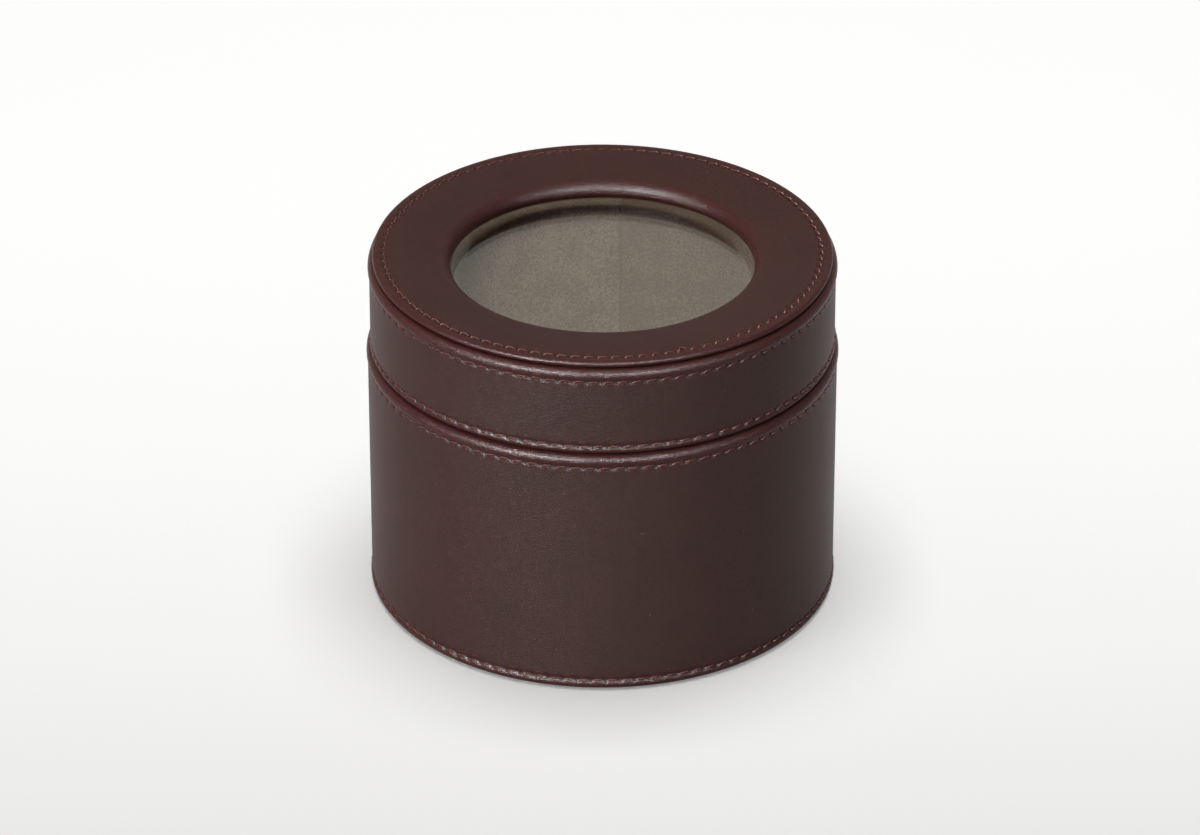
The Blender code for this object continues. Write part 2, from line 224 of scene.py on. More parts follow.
class ThreadSettings(bpy.types.PropertyGroup):
    """Colour and size of the sewing thread."""

    colour: colour_setting("Thread", "#733A31", "Colour on the outside of the plies")
    # Painted shade: the grooves between the plies are painted this colour
    deep: colour_setting("Thread grooves", "#331411", "Colour between the plies")
    # Painted highlight: where a stitch comes up it is painted toward this paler colour
    glint_colour: colour_setting("Worn thread", "#A77C74", "Colour where a stitch comes up and catches wear")
    diameter: length_setting("Diameter", 0.34 * MM, "Thickness of the thread")
    slant: length_setting("Slant", 0.5 * MM, "How much higher a stitch ends than it starts")
    rise: length_setting("Rise", 0.2 * MM, "Height of the thread's middle over the leather")


class LiningSettings(bpy.types.PropertyGroup):
    """Colours of the suede linings and the felt."""

    suede: colour_setting("Suede", "#9C8474", "Colour of the brushed suede")
    suede_dark: colour_setting("Suede against the nap", "#7C6759", "Colour where the nap is turned over")
    backing: colour_setting("Cut edge", "#7C665D", "Colour of the suede's backing where it is cut")
    # Painted shade: the ceiling ring's top face, in the shade under the leather roll, is painted this
    # colour
    roll_shade: colour_setting("Glued side", "#17100E", "Colour of the backing where glue has soaked in")
    felt: colour_setting("Felt", "#2B211D", "Colour of the felt under the box")
    seam_width: length_setting("Seam", 0.3 * MM, "Width of the groove where the strip's ends meet")
    seam_depth: length_setting("Seam depth", 0.3 * MM, "Depth of that groove")


class StageSettings(bpy.types.PropertyGroup):
    """Floor, light and camera."""

    distance: length_setting("Camera distance", 1453.8 * MM, "From the box's axis, along the floor")
    height: length_setting("Camera height", 880.2 * MM, "Above the floor")
    tilt: bpy.props.FloatProperty(
        name="Tilt",
        description="How far the camera looks down",
        default=math.radians(29.86),
        subtype="ANGLE",
    )
    lens: bpy.props.FloatProperty(
        name="Lens", description="Focal length in millimetres", default=193.1, min=10.0
    )
    floor: colour_setting("Floor", "#F9F9FA", "Colour of the floor round the box")


def settings(group):
    """One group of the scene's settings: leather, thread, lining or stage."""
    return getattr(bpy.context.scene, "jewelry_box_" + group)


def arc(centre, radius, start, end, step=FINE_STEP):
    """Points on a circle, centre + radius (cos a, sin a), with a from start to end in degrees."""
    steps = max(2, math.ceil(abs(math.radians(end - start)) * radius / step))
    angle = np.radians(np.linspace(start, end, steps + 1))
    return np.array(centre) + radius * np.stack([np.cos(angle), np.sin(angle)], axis=1)


def path(*corners, step=PLAIN_STEP):
    """Points along straight runs through the corners, each run cut into even steps."""
    runs = []
    for start, end in zip(np.array(corners[:-1]), np.array(corners[1:])):
        steps = max(1, math.ceil(np.linalg.norm(end - start) / step))
        runs.append(start + (end - start) * np.arange(steps)[:, None] / steps)
    return np.concatenate([*runs, [corners[-1]]])


def joined(*runs):
    """One outline from several runs of points, without the points that two runs share."""
    outline = np.concatenate(runs)
    step = np.linalg.norm(np.diff(outline, axis=0), axis=1)
    return outline[np.concatenate([[True], step > 0.001 * MM])]


def eased(outline, times):
    """Average each inner point with its neighbours, (1, 2, 1) / 4, to soften small corners."""
    for _ in range(times):
        middle = (outline[:-2] + 2 * outline[1:-1] + outline[2:]) / 4
        outline = np.concatenate([outline[:1], middle, outline[-1:]])
    return outline


def bead_bend(seam):
    """Radius of the bead that fills the leather between its edge and its row of stitches."""
    return (seam - BEAD_TO_THREAD) / (1 + math.sin(math.radians(BEAD_WRAP)))


def sewn_edge(radius, edge, up, proud, seam):
    """Run from a sewn edge to the plain side: a round bead, a dip at the thread, then the side."""
    bend = bead_bend(seam)
    centre = (radius + proud - bend, edge - up * bend)
    bead = arc(centre, bend, up * 90, -up * BEAD_WRAP)
    dip = path(
        bead[-1],
        (radius - SEAM_DENT, edge - up * seam),
        (radius, edge - up * (seam + SEAM_HALF_WIDTH)),
        (radius, edge - up * (seam + 3 * SEAM_HALF_WIDTH)),
        step=FINE_STEP,
    )
    return joined(bead, dip)


class Seam:
    """A row of stitches: its radius and height, how many, and which way the leather faces there.

    phase is where the first needle hole is, as a share of the pitch.
    """

    def __init__(self, name, body, radius, height, phase, facing=0, count=SIDE_STITCHES):
        self.name = name
        self.body = body
        self.point = np.array((radius, height))
        self.count = count
        self.phase = phase
        angle = math.radians(facing)
        self.out = np.array((math.cos(angle), math.sin(angle)))
        self.up = np.array((-math.sin(angle), math.cos(angle)))

    def pitch(self):
        """Length of one stitch, from needle hole to needle hole."""
        return 2 * math.pi * self.point[0] / self.count


base_dip, lid_dip = base_radius - SEAM_DENT, lid_radius - SEAM_DENT
shoulder_seam = Seam("shoulder_stitches", "body", base_dip, shoulder_height - SHOULDER_SEAM, 0.125)
foot_seam = Seam("foot_stitches", "body", base_dip, wall_low.z + FOOT_SEAM, 0.625)
crown_seam = Seam("lid_crown_stitches", "lid", lid_dip, hoop_high.z - LID_SEAM, 0.375)
mouth_seam = Seam("lid_mouth_stitches", "lid", lid_dip, hoop_low.z + MOUTH_SEAM, 0.75)
rim_seam = Seam(
    "top_rim_stitches", "lid", rim_radius - RIM_SEAM, ring_high.z - SEAM_DENT, 0.5, 90, RIM_STITCHES
)


def round_azimuths(columns, seam_azimuth, radius):
    """Even azimuths round the axis, and a few more on both sides of a butt seam."""
    even = np.linspace(0, 2 * math.pi, columns, endpoint=False)
    near = BUTT_COLUMNS / radius
    seam = math.radians(seam_azimuth) + np.concatenate([-near, [0.0], near])
    far = np.abs(even[:, None] - seam).min(axis=1) > 0.1 * MM / radius
    return np.sort(np.concatenate([even[far], seam]))


def outward(outline, closed):
    """Unit normals of an outline that goes clockwise: its direction turned a quarter to the left."""
    if closed:
        along = np.roll(outline, -1, axis=0) - np.roll(outline, 1, axis=0)
    else:
        along = np.gradient(outline, axis=0)
    along /= np.linalg.norm(along, axis=1, keepdims=True)
    return np.stack([-along[:, 1], along[:, 0]], axis=1)


def seam_pull(outline, azimuths, seam, leather):
    """Push of the leather round a row of stitches.

    u is the distance along the row from the nearest hole and v the distance up across it. A hole is
    a slanted pit, exp(-(along / length)^2 - (across / width)^2), with along and across turned by 45
    degrees from u and v. Between holes the leather swells by -cos(2 pi u / pitch), fading with v.
    """
    across_row = (outline - seam.point) @ seam.up
    off_row = (outline - seam.point) @ seam.out
    on_face = np.exp(-((off_row / LEATHER) ** 2))
    share = azimuths * seam.count / (2 * math.pi) - seam.phase
    u = ((share + 0.5) % 1.0 - 0.5)[:, None] * seam.pitch()
    v = across_row[None, :]
    along, across = (u - v) / math.sqrt(2), (u + v) / math.sqrt(2)
    pit = np.exp(-((along / HOLE_LENGTH) ** 2) - (across / HOLE_WIDTH) ** 2) * on_face
    swell = -np.cos(2 * math.pi * u / seam.pitch()) * np.exp(-((v / PULL_REACH) ** 2)) * on_face
    return leather.puff * swell - leather.hole_depth * pit


def slow_ripple(outline, azimuths, height, seed):
    """Slow unevenness: a sum of six cosines of azimuth and height with seeded phases."""
    rng = np.random.default_rng(seed)
    total = np.zeros((len(azimuths), len(outline)))
    for wave in range(2, 8):
        phase, drift = rng.uniform(0, 2 * math.pi), rng.uniform(-60, 60)
        turn = wave * azimuths[:, None] + phase + drift * outline[None, :, 1]
        total += np.cos(turn) / wave
    return height * total


def butt_groove(azimuths, seam_azimuth, radius, width, depth):
    """Groove where the ends of a strip meet: -depth exp(-(x / width)^2), x along the wall."""
    turn = azimuths - math.radians(seam_azimuth)
    x = (turn + math.pi) % (2 * math.pi) - math.pi
    return -depth * np.exp(-((x * radius / width) ** 2))


def needle_map(turn, point, seams):
    """Millimetres along and across from the needle hole nearest to each face, for its four corners."""
    middle = point.mean(axis=1)
    nearest = np.argmin([np.linalg.norm(middle - seam.point, axis=1) for seam in seams], axis=0)
    places = np.zeros((*turn.shape, 2))
    for number, seam in enumerate(seams):
        faces = nearest == number
        share = turn[faces] * seam.count / (2 * math.pi) - seam.phase
        share -= np.round(share.mean(axis=1, keepdims=True))
        across = (point[faces] - seam.point) @ seam.up
        places[faces] = np.stack([share * seam.pitch(), across], axis=-1) / MM
    return places


def turned_piece(name, outline, azimuths=EVEN_AZIMUTHS, closed=True, push=0.0, marks=None, seams=()):
    """Mesh object of an outline carried round the axis.

    Point (i, j) is ((r + p nr) cos a, (r + p nr) sin a, z + p nz), with (r, z) outline point j, a
    azimuth i, n the outline's normal and p the push. A closed outline makes a ring, an open one
    starts and ends on the axis, where its points are one. marks are values kept on the points.
    """
    normal = outward(outline, closed)
    push = np.broadcast_to(push, (len(azimuths), len(outline)))
    radius = outline[:, 0] + push * normal[:, 0]
    height = outline[:, 1] + push * normal[:, 1]
    turn = azimuths[:, None]
    points = np.stack([radius * np.cos(turn), radius * np.sin(turn), height], axis=-1)

    turns, steps = points.shape[:2]
    index = np.arange(turns * steps).reshape(turns, steps)
    if not closed:
        index[:, 0] = index[0, 0]
        index[:, -1] = index[0, -1]
    i, j = np.meshgrid(np.arange(turns), np.arange(steps if closed else steps - 1), indexing="ij")
    corner_i = np.stack([i, i, i + 1, i + 1], axis=-1).reshape(-1, 4)
    corner_j = np.stack([j, j + 1, j + 1, j], axis=-1).reshape(-1, 4)
    quads = index[corner_i % turns, corner_j % steps]
    length = np.cumsum(np.linalg.norm(np.diff(outline, axis=0, append=outline[:1]), axis=1))
    around = np.append(azimuths, azimuths[0] + 2 * math.pi)[corner_i]
    along = np.concatenate([[0.0], length])[corner_j]
    maps = {"surface": np.stack([around * outline[:, 0].max(), along], axis=-1)}
    if seams:
        maps["needle"] = needle_map(around, np.append(outline, outline[:1], axis=0)[corner_j], seams)

    keep = np.ones(quads.shape, bool)
    keep[quads[:, 0] == quads[:, 3], 3] = False
    keep[quads[:, 1] == quads[:, 2], 2] = False
    used, corners = np.unique(quads[keep], return_inverse=True)
    sides = keep.sum(axis=1)
    mesh = bpy.data.meshes.new(name)
    mesh.vertices.add(len(used))
    mesh.vertices.foreach_set("co", points.reshape(-1, 3)[used].astype(np.float32).ravel())
    mesh.loops.add(len(corners))
    mesh.loops.foreach_set("vertex_index", corners.astype(np.int32).ravel())
    mesh.polygons.add(len(sides))
    mesh.polygons.foreach_set("loop_start", (np.cumsum(sides) - sides).astype(np.int32))
    mesh.update(calc_edges=True)
    for layer, places in maps.items():
        mesh.uv_layers.new(name=layer).data.foreach_set("uv", places[keep].astype(np.float32).ravel())
    for mark, values in (marks or {}).items():
        field = mesh.attributes.new(mark, "FLOAT", "POINT")
        spread = np.broadcast_to(values, (turns, steps)).reshape(-1)[used]
        field.data.foreach_set("value", spread.astype(np.float32))
    return finished_mesh(name, mesh)


def new_object(name, data):
    """Object of a mesh, lamp or camera, put in the scene."""
    made = bpy.data.objects.new(name, data)
    bpy.context.scene.collection.objects.link(made)
    return made


def finished_mesh(name, mesh):
    """Check a mesh, shade it smooth between sharp edges and put it in the scene."""
    mesh.validate()
    mesh.shade_smooth()
    mesh.set_sharp_from_angle(angle=math.radians(SHARP_ANGLE))
    return new_object(name, mesh)


def place(piece, material, body, slot, *nodes):
    """Give a finished piece its material, its CAD body and the nodes that it stands for."""
    piece.data.materials.append(material)
    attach(piece, body)
    if nodes:
        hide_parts(*nodes)
    return piece


def set_inputs(node, inputs):
    """Link each input whose value is another node's output, and set the others."""
    for name, value in inputs.items():
        if isinstance(value, bpy.types.NodeSocket):
            node.id_data.links.new(value, node.inputs[name])
        else:
            node.inputs[name].default_value = value


def add_node(tree, kind, inputs=None, output=0, **properties):
    """Add a node, set it and its inputs, and return one of its outputs.

    kind is the node's type without ShaderNode in front.
    """
    node = tree.nodes.new("ShaderNode" + kind)
    for name, value in properties.items():
        setattr(node, name, value)
    set_inputs(node, inputs or {})
    return node.outputs[output]


def new_material(name):
    """Material with one Principled shader; returns it, the function that adds nodes, and the shader."""
    material = bpy.data.materials.new(name)
    material.use_nodes = True
    tree = material.node_tree
    return material, functools.partial(add_node, tree), tree.nodes["Principled BSDF"]


def pigmented_calf_leather():
    """Pigmented calf leather, embossed with a fine grain and finished satin.

    The eye sees small round pebbles with darker creases, slow mottling from the dye, slanted
    creases, more shine where the leather curves tightly with a redder tint painted there for the
    darker reflections it catches, needle holes painted dark as shade, and a few specks of dust.
    """
    leather = settings("leather")
    material, add, shader = new_material("pigmented_calf_leather")
    where = add("TexCoord", output="Object")
    bend = add("Attribute", output="Fac", attribute_name="bend")

    # Pebbles between creases, pores a third as wide, and mottling of the dye about 14 mm across
    cells = add(
        "TexVoronoi",
        {"Vector": where, "Scale": 1 / leather.grain},
        output="Distance",
        feature="DISTANCE_TO_EDGE",
    )
    pebble = add("MapRange", {"Value": cells, "From Max": 0.2}, interpolation_type="SMOOTHSTEP")
    pores = add("TexNoise", {"Vector": where, "Scale": 3 / leather.grain, "Detail": 3.0})
    dye = add("TexNoise", {"Vector": where, "Scale": 70.0, "Detail": 4.0})
    grain_tone = add("MapRange", {"Value": pebble, "To Min": 0.72})
    dye_tone = add("MapRange", {"Value": dye, "From Min": 0.3, "From Max": 0.6, "To Min": 0.84})
    tone = add("Math", {0: grain_tone, 1: dye_tone}, operation="MULTIPLY")
    # Painted reflection: tight bends are painted redder, for the darker reflections that they catch
    stretched = add("Math", {0: bend, 1: 0.6}, operation="MULTIPLY")

    # Specks of dust about 0.3 mm across, one in every 5 mm or so
    specks = add("TexVoronoi", {"Vector": where, "Scale": 1 / (5 * MM)}, output="Distance")
    speck = add("MapRange", {"Value": specks, "From Min": 0.045, "From Max": 0.02, "To Max": 0.7})

    # Needle holes: slanted ovals 0.9 mm long and 0.34 mm wide each side of their middle, painted near
    # black as shade and made rougher
    needle = add("UVMap", uv_map="needle")
    oval = add(
        "Mapping",
        {"Vector": needle, "Rotation": (0.0, 0.0, math.radians(-45)), "Scale": (0.9, 0.34, 1.0)},
        vector_type="TEXTURE",
    )
    from_hole = add("VectorMath", {0: oval}, output="Value", operation="LENGTH")
    hole = add(
        "MapRange",
        {"Value": from_hole, "From Min": 1.2, "From Max": 0.6, "To Max": 0.93},
        interpolation_type="SMOOTHSTEP",
    )

    # Each colour lies over the ones before it by its share
    shade = leather.deep
    for share, colour in (
        (tone, leather.colour), (stretched, leather.bend_reflection_tint), (speck, leather.dust), (hole, leather.hole_shade)
    ):
        shade = add("Mix", {0: share, 6: shade, 7: colour}, output=2, data_type="RGBA")

    satin = add(
        "MapRange", {"Value": pores, "From Min": 0.3, "From Max": 0.7, "To Min": 0.42, "To Max": 0.5}
    )
    rubbed = add("Math", {0: bend, 1: -0.13, 2: satin}, operation="MULTIPLY_ADD")
    dull = add("Math", {0: hole, 1: 0.5, 2: rubbed}, operation="MULTIPLY_ADD")

    # Creases about 0.45 mm wide and 2 mm long, which lean over on the beads
    leaning = add(
        "Mapping",
        {
            "Vector": add("UVMap", uv_map="surface"),
            "Rotation": (0.0, 0.0, math.radians(35)),
            "Scale": (500.0, 2200.0, 1.0),
        },
    )
    folds = add("TexNoise", {"Vector": leaning, "Scale": 1.0, "Detail": 2.0})
    folded = add("Math", {0: folds, 1: bend}, operation="MULTIPLY")
    grained = add("Math", {0: pores, 1: 0.8, 2: pebble}, operation="MULTIPLY_ADD")
    relief = add("Math", {0: folded, 1: 1.5, 2: grained}, operation="MULTIPLY_ADD")
    bump = add("Bump", {"Height": relief, "Strength": 0.8, "Distance": 0.045 * MM})
    set_inputs(
        shader, {"Base Color": shade, "Roughness": dull, "Specular IOR Level": 0.1, "Normal": bump}
    )
    return material


def bonded_nylon_thread():
    """Three-ply bonded nylon thread: a soft shine, a twist of grooves round it painted darker as shade,
    and a painted highlight where a stitch comes up.
    """
    thread = settings("thread")
    material, add, shader = new_material("bonded_nylon_thread")
    uv = add("TexCoord", output="UV")
    run = add("SeparateXYZ", {"Vector": uv}, output="X")
    around = add("SeparateXYZ", {"Vector": uv}, output="Y")
    plies = 2 * math.pi * THREAD_PLIES
    turns = add("Math", {0: run, 1: plies / PLY_TURN}, operation="MULTIPLY")
    twist = add("Math", {0: around, 1: plies, 2: turns}, operation="MULTIPLY_ADD")
    ply = add("Math", {0: twist}, operation="SINE")
    # Painted shade: the grooves between the plies are painted darker
    groove = add("MapRange", {"Value": ply, "From Min": -1.0, "From Max": 0.4})
    # Painted highlight: a stitch is painted paler just after it comes up through the leather, where its
    # top faces the lamps
    glint = add(
        "MapRange",
        {"Value": run, "From Min": 1.2 * MM, "From Max": 0.6 * MM, "To Max": 0.6},
        interpolation_type="SMOOTHSTEP",
    )
    shade = thread.deep
    for share, colour in ((groove, thread.colour), (glint, thread.glint_colour)):
        shade = add("Mix", {0: share, 6: shade, 7: colour}, output=2, data_type="RGBA")
    bump = add("Bump", {"Height": ply, "Strength": 0.6, "Distance": 0.04 * MM})
    set_inputs(shader, {"Base Color": shade, "Normal": bump})
    set_inputs(shader, {"Roughness": 0.5, "Specular IOR Level": 0.1, "Sheen Weight": 0.05})
    return material


def brushed_microsuede():
    """Brushed microsuede: matt, with a short nap that lies in patches about 8 mm across.

    Real fibres are far thinner than the 0.6 mm drawn here, which is as fine as still shows. The
    ring's top face, in the shade under the leather roll, is painted near black as painted shade, and
    where cut is 1 its backing shows.
    """
    lining = settings("lining")
    material, add, shader = new_material("brushed_microsuede")
    where = add("TexCoord", output="Object")
    nap = add("Attribute", output="Fac", attribute_name="nap")
    patches = add("TexNoise", {"Vector": where, "Scale": 120.0, "Detail": 4.0})
    fibres = add("TexNoise", {"Vector": where, "Scale": 1700.0, "Detail": 3.0})
    lying = add("MapRange", {"Value": patches, "From Min": 0.3, "From Max": 0.7, "To Max": 0.6})
    turned = add("Math", {0: nap, 1: lying}, operation="ADD")
    speckle = add(
        "MapRange", {"Value": fibres, "From Min": 0.38, "From Max": 0.62, "To Min": 0.7, "To Max": -0.2}
    )
    dark = add("Math", {0: turned, 1: speckle}, operation="ADD", use_clamp=True)
    roll_shade = add("Attribute", output="Fac", attribute_name="roll_shade")
    cut = add("Attribute", output="Fac", attribute_name="cut")
    shade = lining.suede
    for share, colour in ((dark, lining.suede_dark), (roll_shade, lining.roll_shade), (cut, lining.backing)):
        shade = add("Mix", {0: share, 6: shade, 7: colour}, output=2, data_type="RGBA")
    bump = add("Bump", {"Height": fibres, "Strength": 0.5, "Distance": 0.12 * MM})
    set_inputs(shader, {"Base Color": shade, "Normal": bump})
    set_inputs(shader, {"Roughness": 0.95, "Specular IOR Level": 0.0, "Sheen Weight": 0.05})
    return material


def fibre_board(name, scale, detail, distortion, dark, pale, roughness, depth):
    """Matt material of tangled fibres between two colours, with a bump of a given depth."""
    material, add, shader = new_material(name)
    fibres = add(
        "TexNoise",
        {
            "Vector": add("TexCoord", output="Object"),
            "Scale": scale,
            "Detail": detail,
            "Distortion": distortion,
        },
    )
    share = add("MapRange", {"Value": fibres, "From Min": 0.3, "From Max": 0.7})
    shade = add("Mix", {0: share, 6: dark, 7: pale}, output=2, data_type="RGBA")
    bump = add("Bump", {"Height": fibres, "Strength": 0.7, "Distance": depth})
    set_inputs(shader, {"Base Color": shade, "Normal": bump})
    set_inputs(shader, {"Roughness": roughness, "Specular IOR Level": 0.1})
    return material


def needle_felt():
    """Needle felt: quite matt, with a tangle of short dark fibres about a millimetre long."""
    pale = settings("lining").felt
    return fibre_board("needle_felt", 900.0, 5.0, 2.0, linear("#1B1412"), pale, 1.0, 0.3 * MM)


def grey_chipboard():
    """Grey chipboard of pressed waste paper: matt, with flecks of fibre about 0.8 mm across."""
    dark, pale = linear("#6F685E"), linear("#9A9286")
    return fibre_board("grey_chipboard", 1200.0, 4.0, 0.0, dark, pale, 0.9, 0.05 * MM)


def float_glass():
    """Float glass, 2 mm, polished: clear, with a mirror image of the surroundings at a slant.

    Lamps shine straight through it, so that they light what is behind it.
    """
    material, add, shader = new_material("float_glass")
    set_inputs(shader, {"Base Color": linear("#F7FAF9"), "Roughness": 0.0})
    set_inputs(shader, {"IOR": 1.5, "Transmission Weight": 1.0})
    clear = add("BsdfTransparent", {"Color": linear("#F4F6F5")})
    shaded = add(
        "MixShader", {0: add("LightPath", output="Is Shadow Ray"), 1: shader.outputs["BSDF"], 2: clear}
    )
    set_inputs(material.node_tree.nodes["Material Output"], {"Surface": shaded})
    return material


def tightness(outline):
    """1 where an outline bends more tightly than TIGHT_BEND, fading to 0 where it is straight."""
    along = np.roll(outline, -1, axis=0) - outline
    angle = np.unwrap(np.arctan2(along[:, 1], along[:, 0]))
    bend = np.abs(np.gradient(angle)) / np.maximum(np.linalg.norm(along, axis=1), 0.05 * MM)
    soft = np.convolve(np.concatenate([bend[-4:], bend, bend[:4]]), np.ones(9) / 9, mode="valid")
    return np.clip(soft * TIGHT_BEND, 0.0, 1.0)


def body_leather_outline():
    """Over the shoulder, down the side, in under the box, and back up behind the leather."""
    board_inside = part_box("base_board")[1].x + GLUE_LINE
    leather_inside = base_radius - LEATHER
    turn_inside = felt_high.x + GLUE_LINE
    shoulder = sewn_edge(base_radius, shoulder_height, 1, SHOULDER_PROUD, SHOULDER_SEAM)
    foot = sewn_edge(base_radius, wall_low.z, -1, FOOT_PROUD, FOOT_SEAM)[::-1]
    shelf = path((board_inside, shoulder_height), shoulder[0], step=MM)
    side = path(shoulder[-1], foot[0])
    under = path(foot[-1], (turn_inside, wall_low.z), step=2 * MM)
    outside = eased(joined(shelf, shoulder, side, foot, under), 2)
    behind = path(
        (turn_inside, felt_high.z),
        (leather_inside, felt_high.z),
        (leather_inside, shoulder_height - LEATHER),
        (board_inside, shoulder_height - LEATHER),
        step=12 * MM,
    )
    return joined(outside, behind)


def lid_leather_outline():
    """In over the top board, round the bead, down the side and up inside the lid's mouth."""
    side_inside = side_lining_high.x - LID_SUEDE
    leather_inside = lid_radius - LEATHER
    lip_inside = leather_inside - GLUE_LINE - LIP_WIDTH
    lip_top = hoop_high.z - LID_BEAD_RISE
    bend = bead_bend(LID_SEAM)
    centre = (lid_radius + LID_PROUD - bend, hoop_high.z - bend)
    fall = math.degrees(math.acos(1 - LID_BEAD_RISE / bend))
    crown = sewn_edge(lid_radius, hoop_high.z, 1, LID_PROUD, LID_SEAM)
    mouth = sewn_edge(lid_radius, hoop_low.z, -1, MOUTH_PROUD, MOUTH_SEAM)[::-1]
    behind_bead = arc(centre, bend, 90 + fall, 90)
    lip = path((lip_inside, lip_top), behind_bead[0], step=MM)
    side = path(crown[-1], mouth[0])
    turn = path(mouth[-1], (side_inside + SMALL_ROUND, hoop_low.z), step=MM)
    outside = eased(joined(lip, behind_bead, crown, side, mouth, turn), 2)
    turn_top = hoop_low.z + LID_TURN_IN
    behind = path(
        (side_inside, hoop_low.z + SMALL_ROUND),
        (side_inside, turn_top),
        (side_lining_high.x, turn_top),
        (side_lining_high.x, hoop_low.z + LEATHER),
        (leather_inside, hoop_low.z + LEATHER),
        (leather_inside, lip_top - LEATHER),
        (lip_inside, lip_top - LEATHER),
        step=12 * MM,
    )
    return joined(outside, behind)


def pad_face(depth, end_radius):
    """Round the roll and out over the pad, depth below its surface, to end_radius.

    The pad is a cubic curve that leaves the roll at the pad's slope and is level at the rim's seam.
    """
    slope = math.tan(math.radians(PAD_SLOPE))
    roll = arc(roll_centre, leather_roll - depth, 180, 90 + PAD_SLOPE)
    start = roll[-1]
    end = np.array((rim_radius - RIM_SEAM, ring_high.z - depth))
    span = end[0] - start[0]
    radius = np.linspace(start[0], end_radius, 1 + math.ceil((end_radius - start[0]) / (0.8 * MM)))
    t = (radius - start[0]) / span
    rise = (3 * t**2 - 2 * t**3) * (end[1] - start[1]) + (t**3 - 2 * t**2 + t) * span * slope
    return joined(roll, np.stack([radius, start[1] + rise], axis=1))


def top_ring_outline():
    """Up the roll, over the pad, round the hem and back under; it tucks in over the pane."""
    seam_radius = rim_radius - RIM_SEAM
    hem_bottom = ring_high.z - 2 * TURNED_LEATHER
    face = pad_face(0, seam_radius - 2 * SEAM_HALF_WIDTH)
    seam = path(
        face[-1],
        (seam_radius - SEAM_HALF_WIDTH, ring_high.z),
        (seam_radius, ring_high.z - SEAM_DENT),
        (seam_radius + SEAM_HALF_WIDTH, ring_high.z),
        (rim_radius - TURNED_LEATHER, ring_high.z),
        step=FINE_STEP,
    )
    rim_centre = (rim_radius - TURNED_LEATHER, hem_bottom + TURNED_LEATHER)
    rim = arc(rim_centre, TURNED_LEATHER, 90, -90, 0.2 * MM)
    outer_bend = LEATHER + TUCK_BEND
    tuck_centre = (window_radius + outer_bend, ring_low.z + outer_bend)
    hem_inside = rim_radius - HEM_WIDTH
    top = eased(joined(face, seam, rim), 2)
    return joined(
        top,
        path(rim[-1], (hem_inside, hem_bottom), step=MM),
        pad_face(LEATHER, hem_inside)[::-1],
        arc(tuck_centre, TUCK_BEND, 180, 270, 0.2 * MM),
        path((pane_high.x, ring_low.z + LEATHER), (pane_high.x, ring_low.z)),
        arc(tuck_centre, outer_bend, 270, 180),
    )


def leather_cover(name, outline, seams, body, material, *nodes):
    """One leather cover, sewn along its seams. All but the top ring are butted together at the back."""
    leather = settings("leather")
    radius = outline[:, 0].max()
    azimuths = round_azimuths(seams[0].count * COLUMNS_PER_STITCH, LEATHER_SEAM_AZIMUTH, radius)
    push = slow_ripple(outline, azimuths, leather.ripple, SEED)
    for seam in seams:
        push = push + seam_pull(outline, azimuths, seam, leather)
    if rim_seam not in seams:
        groove = butt_groove(azimuths, LEATHER_SEAM_AZIMUTH, radius, BUTT_WIDTH, BUTT_DEPTH)
        push = push + groove[:, None]
    marks = {"bend": tightness(outline)[None, :]}
    piece = turned_piece(name, outline, azimuths, push=push, marks=marks, seams=seams)
    return place(piece, material, body, "leather", *nodes)


class JEWELRYBOX_OT_leather(bpy.types.Operator):
    """Make the leather covers of the body, the lid's side and the padded top ring"""

    bl_idname = "jewelry_box.leather"
    bl_label = "Leather covers"

    def execute(self, context):
        hide = pigmented_calf_leather()
        wall_seams = (shoulder_seam, foot_seam)
        band_seams = (crown_seam, mouth_seam)
        wall, band, top = body_leather_outline(), lid_leather_outline(), top_ring_outline()
        leather_cover("body_leather_cover", wall, wall_seams, "body", hide, "wall_leather")
        leather_cover("lid_leather_band", band, band_seams, "lid", hide, "lid_hoop_leather")
        ring_nodes = ("lid_top_leather", "lid_top_foam")
        ring = leather_cover("padded_top_ring", top, (rim_seam,), "lid", hide, *ring_nodes)
        return {"FINISHED"}


def smooth_step(t):
    """3 t^2 - 2 t^3, held at 0 and 1 outside its range."""
    t = np.clip(t, 0.0, 1.0)
    return t * t * (3 - 2 * t)


